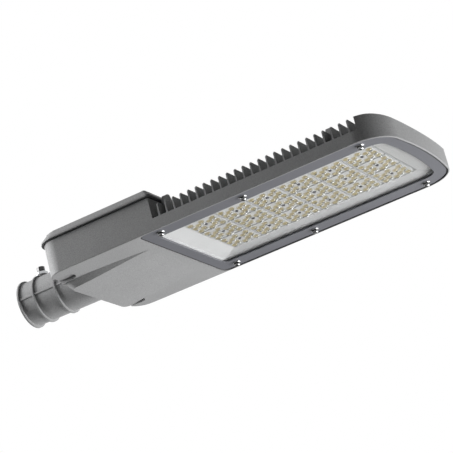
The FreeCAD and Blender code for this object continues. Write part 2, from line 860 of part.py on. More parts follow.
def frame_washers():
    low = frame_face - frame_washer_thickness
    return [bar(frame_washer_radius, low, frame_face, x, y, inner_sides).cut(
            bar(frame_screw_radius + hole_play, low - past, frame_face + past, x, y))
            for x, y in frame_screw_places()]


def frame_screws():
    seat = frame_face - frame_washer_thickness
    return [turned_over(headed_screw(x, y, seat, frame_screw_radius, seat - frame_screw_length,
                                         frame_screw_head_radius, frame_screw_head_height), seat)
            for x, y in frame_screw_places()]


def glass_pane():
    return prism(opening_outline(glass_grip, glass_low), glass_thickness)


def glass_gasket():
    """A rubber ring under the edge of the glass and round it."""
    outset = glass_grip + glass_seal_side
    height = glass_top - frame_back
    seal = prism(opening_outline(outset, frame_back), height)
    seal = seal.cut(prism(opening_outline(glass_grip - glass_seal_lip, frame_back - past), height + 2 * past))
    return seal.cut(glass_pane())


def reflector_form(outset, low, high):
    """The tray as a full solid: four flat slopes that the opening's outline trims at its round corners."""
    def level(rear, front, half, z):
        return [FreeCAD.Vector(rear, -half, z), FreeCAD.Vector(front, -half, z), FreeCAD.Vector(front, half, z),
                FreeCAD.Vector(rear, half, z)]
    slopes = taper(level(opening_rear - outset, opening_apex + outset, opening_half + outset, low),
                   level(board_rear - outset, board_front + outset, board_half + outset, high))
    slopes = slopes.common(prism(opening_outline(outset, low), high - low))
    collar = block(board_rear - outset, board_front + outset, -board_half - outset, board_half + outset,
                   high, base_low)
    return fused([slopes, collar])


def reflector():
    """The white tray: four sloping sides and a square collar that stands on the heat sink round the boards."""
    outer = reflector_form(reflector_gap + reflector_thickness, glass_top, lens_plane + reflector_thickness)
    return outer.cut(reflector_form(reflector_gap, glass_top, lens_plane))


def led_board(row):
    """One long board, with a hole at the middle of each plate."""
    y = (row - 1 - (module_rows - 1) / 2) * module_pitch
    inner = module_pitch / 2 - board_gap / 2
    low = y - (board_half + y if row == 1 else inner)
    high = y + (board_half - y if row == module_rows else inner)
    board = block(board_rear, board_front, low, high, board_low, base_low)
    return board.cut([bar(plate_screw_radius + hole_play, board_low - past, base_low + past, px, py)
                      for _, place_row, px, py in module_places() if place_row == row])


def led_packages():
    """The square light emitters, one under the middle of each lens."""
    half = package_size / 2
    return [block(x + dx - half, x + dx + half, y + dy - half, y + dy + half, board_low - package_height, board_low)
            for _, _, x, y in module_places() for dx, dy in lens_places()]


def lens(x, y):
    """One lens: a low six-sided cone that stands for the dome."""
    foot_ring = corners(lens_radius, lens_sides, x, y, lens_plane)
    tip = FreeCAD.Vector(x, y, lens_plane - lens_height)
    faces = [flat_face(foot_ring)]
    for k in range(lens_sides):
        faces.append(flat_face([foot_ring[k], foot_ring[(k + 1) % lens_sides], tip]))
    solid = Part.makeSolid(Part.makeShell(faces))
    if solid.Volume < 0:
        solid.reverse()
    return solid


def lens_plate():
    """A moulded plate with twelve lenses, hollow behind so that it clears the emitters, centred on the origin."""
    half = plate_size / 2
    inner = half - plate_rim
    plate = block(-half, half, -half, half, lens_plane, board_low)
    hollow = block(-inner, inner, -inner, inner, board_low - plate_pocket, board_low + past)
    hole = bar(plate_screw_radius + hole_play, lens_plane - past, board_low + past, 0, 0)
    return fused([plate.cut([hollow, hole])] + [lens(x, y) for x, y in lens_places()])


def plate_screws():
    return [turned_over(headed_screw(x, y, lens_plane, plate_screw_radius,
                                         2 * lens_plane - base_low - plate_screw_depth,
                                         plate_screw_head_radius, plate_screw_head_height), lens_plane)
            for _, _, x, y in module_places()]


def floor_screws(places, seat, tip):
    """Pan head screws that hold a thing down on the floor of the driver box."""
    return [headed_screw(x, y, seat, screw_m4_radius, tip, screw_m4_head_radius, screw_m4_head_height)
            for x, y in places]


def led_driver():
    """The power supply: a metal case with an ear at each end."""
    low = floor_top + pad_height
    front = step_front - driver_front_gap
    middle = front - driver_width / 2
    half = driver_length / 2
    case = block(front - driver_width, front, -half, half, low, low + driver_height)
    reach = half + driver_ear_length
    ears = block(middle - driver_ear_width / 2, middle + driver_ear_width / 2, -reach, reach, low,
                 low + driver_ear_thickness)
    holes = [bar(screw_m4_radius + hole_play, low - past, low + driver_ear_thickness + past, x, y)
             for x, y in driver_screw_places()]
    return fused([case, ears]).cut(holes)


def terminal_block():
    """A mains terminal block: a wire hole for each way, and a low lug at each end."""
    low = floor_top + pad_height
    top = low + terminal_height
    x = box_rear + terminal_place
    half = terminal_length / 2
    body_half = half - terminal_lug_length
    body = block(x - terminal_width / 2, x + terminal_width / 2, -terminal_side - body_half,
                 -terminal_side + body_half, low, top)
    lugs = block(x - terminal_lug_width / 2, x + terminal_lug_width / 2, -terminal_side - half,
                 -terminal_side + half, low, low + terminal_lug_height)
    cuts = [bar(screw_m4_radius + hole_play, low - past, low + terminal_lug_height + past, px, py)
            for px, py in terminal_screw_places()]
    pitch = 2 * body_half / terminal_ways
    for way in range(terminal_ways):
        y = -terminal_side + (way - (terminal_ways - 1) / 2) * pitch
        cuts.append(bar_along_x(terminal_way_radius, x - terminal_width, x + terminal_width, y,
                                low + terminal_wire_height, screw_sides))
        cuts.append(bar(terminal_way_radius, top - terminal_screw_depth, top + past, x, y))
    return fused([body, lugs]).cut(cuts)


def surge_protector():
    """The surge protector: a potted case with a lug at each end."""
    low = floor_top + pad_height
    x = box_rear + surge_place
    half = surge_length / 2
    body_half = half - surge_lug_length
    case = block(x - surge_width / 2, x + surge_width / 2, surge_side - body_half, surge_side + body_half, low,
                 low + surge_height)
    lugs = block(x - surge_lug_width / 2, x + surge_lug_width / 2, surge_side - half, surge_side + half, low,
                 low + surge_lug_height)
    holes = [bar(screw_m4_radius + hole_play, low - past, low + surge_lug_height + past, px, py)
             for px, py in surge_screw_places()]
    return fused([case, lugs]).cut(holes)


def cable_clip():
    """A saddle over the place of the mains cable, in line with the gland."""
    x = box_rear + clip_place
    half = clip_width / 2
    outer = clip_cable_radius + clip_thickness
    reach = outer + clip_wing
    seat = -clip_cable_radius
    wings = block(x - half, x + half, -reach, reach, seat, seat + clip_thickness)
    arch = fused([bar_along_x(outer, x - half, x + half, 0, 0), block(x - half, x + half, -outer, outer, seat, 0)])
    arch = arch.common(block(x - half, x + half, -outer, outer, seat, outer))
    way = fused([bar_along_x(clip_cable_radius, x - clip_width, x + clip_width, 0, 0),
                 block(x - clip_width, x + clip_width, -clip_cable_radius, clip_cable_radius, seat - past, 0)])
    holes = [bar(screw_m4_radius + hole_play, seat - past, seat + clip_thickness + past, px, py)
             for px, py in clip_screw_places()]
    return fused([wings, arch]).cut([way] + holes)


def gland_body():
    """The gland's threaded tube, with its hexagon against the inside of the box wall."""
    inner_end = box_inner_rear + gland_flange_length + gland_cap_length / 2
    tube = bar_along_x(gland_thread_radius, socket_depth + gland_nut_recess, inner_end, 0, 0)
    flange = laid_down(hexagon(gland_flange_across, box_inner_rear, box_inner_rear + gland_flange_length, 0, 0))
    return fused([tube, flange]).cut(bar_along_x(gland_bore_radius, socket_depth, inner_end + past, 0, 0))


def gland_cap():
    """The gland's cap nut: a hexagon that runs into a cone."""
    start = box_inner_rear + gland_flange_length
    shoulder = start + gland_cap_length
    end = shoulder + gland_cap_nose
    cone = laid_down(taper(corners(gland_cap_across / 2, inner_sides, 0, 0, shoulder),
                           corners(gland_cap_tip_radius, inner_sides, 0, 0, end)))
    cap = fused([laid_down(hexagon(gland_cap_across, start, shoulder, 0, 0)), cone])
    thread = bar_along_x(gland_thread_radius + thread_play, start - past, start + gland_cap_length / 2, 0, 0)
    return cap.cut([bar_along_x(gland_bore_radius, start - past, end + past, 0, 0), thread])


def gland_nut():
    start = socket_depth + gland_nut_recess
    nut = laid_down(hexagon(gland_nut_across, start, start + gland_nut_length, 0, 0))
    return nut.cut(bar_along_x(gland_thread_radius + thread_play, start - past, gland_seat() + past, 0, 0))


def lead_grommet():
    """A rubber ring in the hole between box and light chamber, with a lip above and below."""
    x = box_front - grommet_place
    lip = grommet_hole_radius + grommet_flange
    pieces = [bar(grommet_hole_radius, base_low, base_top, x, 0, inner_sides),
              bar(lip, base_low - grommet_flange_thickness, base_low, x, 0, inner_sides),
              bar(lip, base_top, base_top + grommet_flange_thickness, x, 0, inner_sides)]
    return fused(pieces).cut(bar(grommet_bore_radius, base_low - 2 * past, base_top + 2 * past, x, 0))


def earth_washer():
    seat = floor_top + pad_height
    top = seat + earth_washer_thickness
    x = box_rear + earth_place
    return bar(earth_washer_radius, seat, top, x, -earth_side, inner_sides).cut(
        bar(screw_m4_radius + hole_play, seat - past, top + past, x, -earth_side))


def save(name, solids):
    """Writes one node, as one solid or as a group of like solids."""
    if isinstance(solids, list):
        shape = Part.makeCompound(solids)
    else:
        shape = solids
    shape.exportStep("parts/" + name + ".step")


def main():
    os.makedirs("parts", exist_ok=True)
    pad_top = floor_top + pad_height
    pad_tip = pad_top - screw_m4_depth
    save("housing", housing())
    save("driver_cover", driver_cover())
    save("cover_gasket", cover_gasket())
    save("cover_screws", cover_screws())
    save("pole_clamp_screw", pole_clamp_screw())
    save("clamp_lock_nut", clamp_lock_nut())
    save("bezel_frame", frame())
    save("bezel_gasket", frame_gasket())
    save("bezel_washers", frame_washers())
    save("bezel_screws", frame_screws())
    save("glass_pane", glass_pane())
    save("glass_gasket", glass_gasket())
    save("reflector", reflector())
    for row in range(1, module_rows + 1):
        save("led_board_" + str(row), led_board(row))
    save("led_packages", led_packages())
    plate = lens_plate()
    for column, row, x, y in module_places():
        placed = plate.copy()
        placed.translate(FreeCAD.Vector(x, y, 0))
        save("lens_plate_" + str(column) + "_" + str(row), placed)
    save("lens_plate_screws", plate_screws())
    save("led_driver", led_driver())
    save("driver_screws", floor_screws(driver_screw_places(), pad_top + driver_ear_thickness, pad_tip))
    save("terminal_block", terminal_block())
    save("terminal_screws", floor_screws(terminal_screw_places(), pad_top + terminal_lug_height, pad_tip))
    save("surge_protector", surge_protector())
    save("surge_screws", floor_screws(surge_screw_places(), pad_top + surge_lug_height, pad_tip))
    save("cable_clip", cable_clip())
    save("cable_clip_screws", floor_screws(clip_screw_places(), -clip_cable_radius + clip_thickness,
                                           -clip_cable_radius - clip_screw_depth))
    save("gland_body", gland_body())
    save("gland_cap", gland_cap())
    save("gland_lock_nut", gland_nut())
    save("lead_grommet", lead_grommet())
    save("earth_washer", earth_washer())
    save("earth_screw", floor_screws([(box_rear + earth_place, -earth_side)], pad_top + earth_washer_thickness,
                                     pad_tip))


main()
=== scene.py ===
import json
import math

import bmesh
import bpy
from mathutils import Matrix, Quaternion, Vector


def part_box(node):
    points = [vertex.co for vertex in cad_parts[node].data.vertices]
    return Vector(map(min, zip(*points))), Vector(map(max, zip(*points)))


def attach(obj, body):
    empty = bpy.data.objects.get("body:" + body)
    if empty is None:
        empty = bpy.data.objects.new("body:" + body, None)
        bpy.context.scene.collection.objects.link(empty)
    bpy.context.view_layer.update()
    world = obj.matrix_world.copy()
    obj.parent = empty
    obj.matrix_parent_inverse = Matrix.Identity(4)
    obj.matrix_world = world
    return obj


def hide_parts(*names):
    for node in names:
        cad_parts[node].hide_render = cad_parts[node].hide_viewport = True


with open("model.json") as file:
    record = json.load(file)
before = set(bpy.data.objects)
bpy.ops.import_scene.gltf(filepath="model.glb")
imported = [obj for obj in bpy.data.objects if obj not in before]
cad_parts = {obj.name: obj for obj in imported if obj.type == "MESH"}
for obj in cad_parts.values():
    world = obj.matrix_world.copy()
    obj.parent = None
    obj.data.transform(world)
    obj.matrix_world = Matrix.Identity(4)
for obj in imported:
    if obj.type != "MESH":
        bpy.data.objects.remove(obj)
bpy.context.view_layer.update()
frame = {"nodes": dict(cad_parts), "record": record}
nodes = frame["nodes"]
scene = bpy.context.scene
MM = 0.001

# Camera: place, turn as a quaternion, and lens, as solved from the photograph
CAMERA_PLACE = (1.5662, -2.6944, -1.0831)
CAMERA_TURN = (0.571484, 0.773123, 0.270848, 0.048252)
CAMERA_LENS = 166.70
SENSOR_WIDTH = 36.0
CAMERA_CLIP = (0.05, 100.0)

# Lamps: name, place, point that it is aimed at, side of its square in metres, and power in watts
LAMPS = (
    ("far_below", (1.5, 2.0, -2.25), (0.35, 0.0, 0.0), 2.6, 118.0),
    ("front_low", (2.6, 0.4, -1.2), (0.5, 0.0, 0.0), 1.0, 40.0),
    ("rear_near", (-0.92, -0.4, 0.22), (0.1, -0.05, 0.0), 0.4, 17.0),
    ("above", (-1.4, -0.9, 1.9), (0.35, 0.0, 0.0), 1.6, 36.0),
)

# The world is white to the eye, in reflections and through glass, and lights rough surfaces with this share
WORLD_FILL = 0.025

# Floor: the middle of a square far under the lamp head, its half side and its cells, its two tones in patches
# (their number per metre), and the share of plain white that the camera sees in its place
FLOOR_PLACE = (0.35, 0.0, -4.2)
FLOOR_REACH = 30.0
FLOOR_CELLS = 6
FLOOR_TONES = ((0.86, 0.86, 0.86), (0.88, 0.88, 0.88))
FLOOR_PATCHES = 1.5
FLOOR_ROUGHNESS = 0.9
FLOOR_GLOW = 0.7

# The range of a noise that is used, as nearly all of its values lie there
NOISE_LOW, NOISE_HIGH = 0.3, 0.7

# In each finish: patches per metre, the detail of grain and patches and the roughness of both noises, the
# share of patches in the tone, and the places of the darker, middle and lighter tone
PATCHES_PER_METRE = 14.0
GRAIN_DETAIL, PATCH_DETAIL = 2.0, 4.0
FINISH_NOISE_ROUGHNESS = 0.6
PATCH_SHARE = 0.15
TONE_STOPS = (0.34, 0.5, 0.66)

# Clear pieces: index of refraction, patches of tint and of smear per metre, and the smears' roughness
GLASS_IOR = 1.5
TINT_PATCHES, SMEAR_PATCHES = 9.0, 21.0
SMEAR_ROUGHNESS = 0.02


def new_material(name):
    m = bpy.data.materials.new(name)
    m.use_nodes = True
    tree = m.node_tree
    return m, tree, tree.nodes["Principled BSDF"]


def noise(tree, scale, detail=3.0, roughness=0.55, stretch=None):
    """A noise in the part's own coordinates; its scale is in features per metre."""
    source = tree.nodes.new("ShaderNodeTexCoord").outputs["Object"]
    if stretch:
        mapping = tree.nodes.new("ShaderNodeMapping")
        mapping.inputs["Scale"].default_value = stretch
        tree.links.new(source, mapping.inputs["Vector"])
        source = mapping.outputs["Vector"]
    n = tree.nodes.new("ShaderNodeTexNoise")
    n.inputs["Scale"].default_value = scale
    n.inputs["Detail"].default_value = detail
    n.inputs["Roughness"].default_value = roughness
    tree.links.new(source, n.inputs["Vector"])
    return n.outputs["Fac"]


def ramp(tree, value, stops):
    """A colour for each value, from stops of (place, colour)."""
    r = tree.nodes.new("ShaderNodeValToRGB")
    while len(r.color_ramp.elements) < len(stops):
        r.color_ramp.elements.new(0.5)
    for element, (at, colour) in zip(r.color_ramp.elements, stops):
        element.position = at
        element.color = (*colour, 1.0)
    tree.links.new(value, r.inputs["Fac"])
    return r.outputs["Color"]


def between(tree, value, low, high):
    """A noise's value brought to a range from low to high."""
    m = tree.nodes.new("ShaderNodeMapRange")
    m.inputs["From Min"].default_value = NOISE_LOW
    m.inputs["From Max"].default_value = NOISE_HIGH
    m.inputs["To Min"].default_value = low
    m.inputs["To Max"].default_value = high
    tree.links.new(value, m.inputs["Value"])
    return m.outputs["Result"]


def shade(colour, share):
    return tuple(c * share for c in colour)


def finish(name, colour, variation, gloss, bump, metallic=0.0, coat=0.0, coat_roughness=0.2, specular=0.5,
           stretch=None):
    """A finish with a fine grain and faint large patches in its colour, its gloss and its relief."""
    strength, grains_per_metre, depth = bump
    m, tree, shader = new_material(name)
    fine = noise(tree, grains_per_metre, GRAIN_DETAIL, FINISH_NOISE_ROUGHNESS, stretch)
    broad = noise(tree, PATCHES_PER_METRE, PATCH_DETAIL, FINISH_NOISE_ROUGHNESS)
    mixed = tree.nodes.new("ShaderNodeMix")
    mixed.data_type = "FLOAT"
    mixed.inputs["Factor"].default_value = PATCH_SHARE
    tree.links.new(fine, mixed.inputs["A"])
    tree.links.new(broad, mixed.inputs["B"])
    tones = (shade(colour, 1 - variation), colour, shade(colour, 1 + variation))
    tone = ramp(tree, mixed.outputs["Result"], list(zip(TONE_STOPS, tones)))
    tree.links.new(tone, shader.inputs["Base Color"])
    tree.links.new(between(tree, broad, *gloss), shader.inputs["Roughness"])
    relief = tree.nodes.new("ShaderNodeBump")
    relief.inputs["Strength"].default_value = strength
    relief.inputs["Distance"].default_value = depth
    tree.links.new(fine, relief.inputs["Height"])
    tree.links.new(relief.outputs["Normal"], shader.inputs["Normal"])
    shader.inputs["Metallic"].default_value = metallic
    shader.inputs["Coat Weight"].default_value = coat
    shader.inputs["Coat Roughness"].default_value = coat_roughness
    shader.inputs["Specular IOR Level"].default_value = specular
    return m


def clear(name, low, high, through_tint):
    """A clear glass or plastic that lets the lamps' light through to what is behind it."""
    m, tree, shader = new_material(name)
    shader.inputs["Transmission Weight"].default_value = 1.0
    shader.inputs["IOR"].default_value = GLASS_IOR
    tint = ramp(tree, noise(tree, TINT_PATCHES), [(NOISE_LOW, low), (NOISE_HIGH, high)])
    tree.links.new(tint, shader.inputs["Base Color"])
    smear = between(tree, noise(tree, SMEAR_PATCHES), 0.0, SMEAR_ROUGHNESS)
    tree.links.new(smear, shader.inputs["Roughness"])
    light = tree.nodes.new("ShaderNodeLightPath")
    either = tree.nodes.new("ShaderNodeMath")
    either.operation = "MAXIMUM"
    tree.links.new(light.outputs["Is Shadow Ray"], either.inputs[0])
    tree.links.new(light.outputs["Is Diffuse Ray"], either.inputs[1])
    through = tree.nodes.new("ShaderNodeBsdfTransparent")
    through.inputs["Color"].default_value = (*through_tint, 1.0)
    mix = tree.nodes.new("ShaderNodeMixShader")
    tree.links.new(either.outputs["Value"], mix.inputs["Fac"])
    tree.links.new(shader.outputs["BSDF"], mix.inputs[1])
    tree.links.new(through.outputs["BSDF"], mix.inputs[2])
    tree.links.new(mix.outputs["Shader"], tree.nodes["Material Output"].inputs["Surface"])
    return m


# Finishes by name, which for the CAD nodes is their material slot. variation is how far the tone strays to
# either side, gloss the range of roughness, and bump the relief's strength, grains per metre and depth
FINISHES = {
    "body_coat": dict(colour=(0.345, 0.347, 0.35), variation=0.2, gloss=(0.42, 0.52),
                      bump=(0.5, 760.0, 0.00026), specular=0.06),
    "frame_coat": dict(colour=(0.15, 0.153, 0.17), variation=0.05, gloss=(0.4, 0.5),
                       bump=(0.2, 2400.0, 0.0001)),
    "black_rubber": dict(colour=(0.014, 0.014, 0.015), variation=0.15, gloss=(0.55, 0.7),
                         bump=(0.2, 900.0, 0.0001)),
    "grey_silicone": dict(colour=(0.24, 0.243, 0.25), variation=0.06, gloss=(0.5, 0.65),
                          bump=(0.2, 900.0, 0.0001)),
    "black_steel": dict(colour=(0.012, 0.012, 0.013), variation=0.2, gloss=(0.3, 0.42),
                        bump=(0.2, 1400.0, 0.00006), coat=0.2),
    "dark_steel": dict(colour=(0.16, 0.16, 0.18), variation=0.15, gloss=(0.3, 0.4),
                       bump=(0.2, 1800.0, 0.00005), metallic=0.7),
    "zinc_steel": dict(colour=(0.46, 0.47, 0.48), variation=0.12, gloss=(0.26, 0.38),
                       bump=(0.2, 1300.0, 0.00005), metallic=1.0),
    "stainless": dict(colour=(0.58, 0.585, 0.59), variation=0.08, gloss=(0.14, 0.24),
                      bump=(0.15, 1600.0, 0.00004), metallic=1.0),
    "white_plastic": dict(colour=(0.85, 0.855, 0.855), variation=0.02, gloss=(0.3, 0.42),
                          bump=(0.15, 1100.0, 0.00005)),
    "board_white": dict(colour=(0.46, 0.465, 0.465), variation=0.02, gloss=(0.35, 0.5),
                        bump=(0.1, 1500.0, 0.00004)),
    "led_yellow": dict(colour=(0.72, 0.55, 0.1), variation=0.08, gloss=(0.35, 0.5),
                       bump=(0.1, 2400.0, 0.00004)),
    "lens_clear": dict(colour=(0.86, 0.865, 0.86), variation=0.05, gloss=(0.14, 0.22),
                       bump=(0.1, 700.0, 0.00004), coat=0.6, coat_roughness=0.08),
    # the plate's side faces: a darker copy of lens_clear, a painted shade that holds back the light they
    # catch
    "lens_edge_painted_shade": dict(colour=(0.58, 0.585, 0.585), variation=0.04, gloss=(0.3, 0.4),
                      bump=(0.1, 900.0, 0.00004)),
    "lens_emitter": dict(colour=(0.52, 0.44, 0.24), variation=0.06, gloss=(0.4, 0.5),
                         bump=(0.1, 900.0, 0.00004)),
    "lens_prism": dict(colour=(0.96, 0.96, 0.95), variation=0.02, gloss=(0.1, 0.16),
                       bump=(0.05, 900.0, 0.00004), metallic=0.75),
    "driver_case": dict(colour=(0.5, 0.51, 0.52), variation=0.06, gloss=(0.3, 0.42),
                        bump=(0.2, 700.0, 0.00006), metallic=1.0, stretch=(0.1, 1.0, 1.0)),
    "grey_nylon": dict(colour=(0.33, 0.34, 0.36), variation=0.05, gloss=(0.45, 0.6),
                       bump=(0.25, 1100.0, 0.00008)),
    "black_nylon": dict(colour=(0.022, 0.022, 0.023), variation=0.12, gloss=(0.42, 0.55),
                        bump=(0.25, 1100.0, 0.00008)),
    "brass": dict(colour=(0.72, 0.53, 0.22), variation=0.08, gloss=(0.2, 0.3),
                  bump=(0.15, 1400.0, 0.00005), metallic=1.0),
    # near-black painted shade for the screws' recess, shank and head side, not the steel's own colour
    "screw_painted_shade": dict(colour=(0.03, 0.03, 0.032), variation=0.2, gloss=(0.4, 0.5),
                        bump=(0.2, 1500.0, 0.00005), metallic=0.5),
}
materials = {name: finish(name, **values) for name, values in FINISHES.items()}
materials["clear_glass"] = clear("clear_glass", low=(0.955, 0.96, 0.96), high=(0.97, 0.972, 0.972),
                                 through_tint=(0.965, 0.967, 0.967))
materials["lens_dome"] = clear("lens_dome", low=(0.95, 0.945, 0.92), high=(0.97, 0.965, 0.945),
                               through_tint=(0.95, 0.95, 0.94))


def dress(name, material_name):
    mesh = nodes[name].data
    mesh.materials.clear()
    mesh.materials.append(materials[material_name])


for part in frame["record"]["subparts"]:
    dress(part["node"], part["material_slot"])
dress("glass_gasket", "grey_silicone")

# Rounded edges: points closer than the weld are one, faces flatter to each other than the first angle are
# joined, and edges sharper than the second one are rounded
WELD_DISTANCE = 0.00001
FLAT_ANGLE = math.radians(0.6)
EDGE_ANGLE = math.radians(25.0)
EDGE_SEGMENTS = 2


def soften(name, width):
    """Rounds a cast or moulded node's edges, as the real piece has no sharp ones."""
    o = nodes[name]
    for polygon in o.data.polygons:
        polygon.use_smooth = True
    weld = o.modifiers.new("weld", "WELD")
    weld.merge_threshold = WELD_DISTANCE
    flat = o.modifiers.new("flat", "DECIMATE")
    flat.decimate_type = "DISSOLVE"
    flat.angle_limit = FLAT_ANGLE
    bevel = o.modifiers.new("bevel", "BEVEL")
    bevel.width = width
    bevel.segments = EDGE_SEGMENTS
    bevel.limit_method = "ANGLE"
    bevel.angle_limit = EDGE_ANGLE
    bevel.miter_outer = "MITER_SHARP"
    o.modifiers.new("weight", "WEIGHTED_NORMAL")


soften("housing", 0.7 * MM)
soften("driver_cover", 0.6 * MM)
soften("bezel_frame", 0.4 * MM)


def mesh_of(name, build, material_names):
    """The mesh that build(bm) makes, in metres."""
    bm = bmesh.new()
    build(bm)
    mesh = bpy.data.meshes.new(name)
    bm.to_mesh(mesh)
    bm.free()
    for material_name in material_names:
        mesh.materials.append(materials[material_name])
    return mesh


def place(name, mesh, replaced, location=(0.0, 0.0, 0.0)):
    """A detailed piece on the body, in the place of a CAD node."""
    o = bpy.data.objects.new(name, mesh)
    o.location = location
    scene.collection.objects.link(o)
    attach(o, "root")
    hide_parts(replaced)


def lathe(bm, profile, sides, centre, material=0):
    """Turns a profile of (radius, depth under centre) about the vertical axis. Its first radius may be 0."""
    rings = []
    for radius, depth in profile:
        z = centre[2] - depth
        if radius <= 0:
            rings.append([bm.verts.new((centre[0], centre[1], z))])
        else:
            rings.append([bm.verts.new((centre[0] + radius * math.cos(2 * math.pi * i / sides),
                                        centre[1] + radius * math.sin(2 * math.pi * i / sides), z))
                          for i in range(sides)])
    for before, after in zip(rings, rings[1:]):
        for i in range(sides):
            j = (i + 1) % sides
            start = before if len(before) == 1 else [before[j], before[i]]
            face = bm.faces.new([after[i], after[j], *start])
            face.material_index = material
            face.smooth = True
    return rings


# Lens plates: a square moulded plate, on its lower face twelve clear oval lenses, each over a disc of emitter
# colour and with a small prism beside it, and one low bar by an edge. LENSES holds the places of the lenses,
# counted in pitches from the middle
PLATE_COLUMNS, PLATE_ROWS = 6, 3
PLATE_HALF, PLATE_CHAMFER, PLATE_THICKNESS = 25.0 * MM, 0.25 * MM, 1.8 * MM
LENS_PITCH_X, LENS_PITCH_Y = 9.3 * MM, 8.4 * MM
LENSES = ([(x, y) for x in (-2, 2) for y in (-2, 0, 2)] + [(x, y) for x in (-1, 1) for y in (-1, 1)]
          + [(0, y) for y in (-2, 2)])
DOME_LONG, DOME_WIDE, DOME_HEIGHT = 4.7 * MM, 3.8 * MM, 2.9 * MM
DOME_PROUD = 0.04 * MM
DOME_SIDES, DOME_STEPS = 24, 7
EMITTER_SHARE = 0.85
BAR_SIZE = (12.0 * MM, 1.8 * MM, 0.9 * MM)
BAR_MARGIN = 2.2 * MM
PRISM_SIZE = (5.4 * MM, 2.0 * MM, 2.7 * MM)
PRISM_PLACE = (0.9 * MM, 5.2 * MM)
BAR_SIDES = 6

# The side faces of each plate carry the painted-shade copy of the plate's material
# The plate's materials, and the places in that list of all faces but its own
PLATE_MATERIALS = ("lens_clear", "lens_emitter", "lens_dome", "lens_edge_painted_shade", "lens_prism")
OF_EMITTER, OF_DOME, OF_PAINTED_SHADE_EDGE, OF_PRISM = 1, 2, 3, 4


def dome(bm, centre):
    """A clear oval lens that hangs down from centre, closed by its disc of emitter colour."""
    rings = []
    for k in range(DOME_STEPS):
        a = math.pi / 2 * k / DOME_STEPS
        ring = []
        for i in range(DOME_SIDES):
            b = 2 * math.pi * i / DOME_SIDES
            ring.append(bm.verts.new((centre[0] + DOME_LONG * math.cos(a) * math.cos(b),
                                      centre[1] + DOME_WIDE * math.cos(a) * math.sin(b),
                                      centre[2] - DOME_HEIGHT * math.sin(a))))
        rings.append(ring)
    tip = bm.verts.new((centre[0], centre[1], centre[2] - DOME_HEIGHT))
    for i in range(DOME_SIDES):
        j = (i + 1) % DOME_SIDES
        faces = [(upper[i], lower[i], lower[j], upper[j]) for upper, lower in zip(rings, rings[1:])]
        for corners in [*faces, (rings[-1][i], tip, rings[-1][j])]:
            face = bm.faces.new(corners)
            face.material_index = OF_DOME
            face.smooth = True
    disc = [bm.verts.new((centre[0] + (v.co.x - centre[0]) * EMITTER_SHARE,
                          centre[1] + (v.co.y - centre[1]) * EMITTER_SHARE, centre[2])) for v in rings[0]]
    for i in range(DOME_SIDES):
        j = (i + 1) % DOME_SIDES
        bm.faces.new((rings[0][i], rings[0][j], disc[j], disc[i]))
    bm.faces.new(disc).material_index = OF_EMITTER


def bar(bm, centre, size):
    """A rounded bar along x, moulded on the plate and hanging down from centre."""
    length, width, height = size
    ends = []
    for x in (centre[0] - length / 2, centre[0] + length / 2):
        ends.append([bm.verts.new((x, centre[1] + width / 2 * math.cos(math.pi * k / BAR_SIDES),
                                   centre[2] - height * math.sin(math.pi * k / BAR_SIDES)))
                     for k in range(BAR_SIDES + 1)])
    faces = [bm.faces.new((ends[0][k], ends[0][k + 1], ends[1][k + 1], ends[1][k])) for k in range(BAR_SIDES)]
    for face in faces:
        face.smooth = True
    faces += [bm.faces.new(list(reversed(ends[0]))), bm.faces.new(ends[1]),
              bm.faces.new((ends[0][0], ends[1][0], ends[1][-1], ends[0][-1]))]
    for face in faces:
        face.material_index = OF_PRISM


def lens_plate(bm):
    """A plate with its lenses, prisms and bar; its origin is the middle of its upper face."""
    outline = [(PLATE_HALF, 0.0), (PLATE_HALF, -PLATE_THICKNESS + PLATE_CHAMFER),
               (PLATE_HALF - PLATE_CHAMFER, -PLATE_THICKNESS)]
    loops = []
    for reach, z in outline:
        loops.append([bm.verts.new((sx * reach, sy * reach, z))
                      for sx, sy in ((1, 1), (-1, 1), (-1, -1), (1, -1))])
    for lower, upper in zip(loops, loops[1:]):
        for i in range(4):
            j = (i + 1) % 4
            # the side faces get the darker painted-shade copy of the plate's material
            bm.faces.new((lower[i], upper[i], upper[j], lower[j])).material_index = OF_PAINTED_SHADE_EDGE
    bm.faces.new(list(reversed(loops[-1])))
    bm.faces.new(loops[0])
    for column, row in LENSES:
        x, y = column * LENS_PITCH_X, row * LENS_PITCH_Y
        dome(bm, (x, y, -PLATE_THICKNESS - DOME_PROUD))
        bar(bm, (x + PRISM_PLACE[0], y + PRISM_PLACE[1], -PLATE_THICKNESS), PRISM_SIZE)
    bar(bm, (0.0, PLATE_HALF - BAR_MARGIN, -PLATE_THICKNESS), BAR_SIZE)
    bmesh.ops.recalc_face_normals(bm, faces=bm.faces)


plate_mesh = mesh_of("lens_plate", lens_plate, PLATE_MATERIALS)
for plate_column in range(1, PLATE_COLUMNS + 1):
    for plate_row in range(1, PLATE_ROWS + 1):
        node = f"lens_plate_{plate_column}_{plate_row}"
        node_low, node_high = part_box(node)
        place(f"optic_{plate_column}_{plate_row}", plate_mesh, node,
              ((node_low[0] + node_high[0]) / 2, (node_low[1] + node_high[1]) / 2, node_high[2]))

# Frame screws: a domed head with a cross recess on its shank. The seat is SEAT_RISE above the lowest point of
# the CAD screw. CROWN is the head's profile in shares of its radius and height, and the recess's floor is a
# smaller cross
HEAD_RADIUS, HEAD_HEIGHT, HEAD_SIDES = 4.7 * MM, 4.55 * MM, 32
SEAT_RISE = 4.6 * MM
SHANK_RADIUS = 2.4 * MM
CROWN = ((1.0, 0.5), (0.95, 0.76), (0.84, 0.93), (0.72, 1.0))
CROSS_ARM, CROSS_HALF_WIDTH = 2.3 * MM, 2.3 * MM * 0.3
CROSS_DEPTH = HEAD_HEIGHT * 0.62
CROSS_FLOOR_SHARE = 0.75
CROSS_TURN = 0.1

# The screws' materials, bright for the crown, and for recess, shank and side a near-black painted shade
SCREW_MATERIALS = ("stainless", "screw_painted_shade")
OF_PAINTED_SHADE = 1

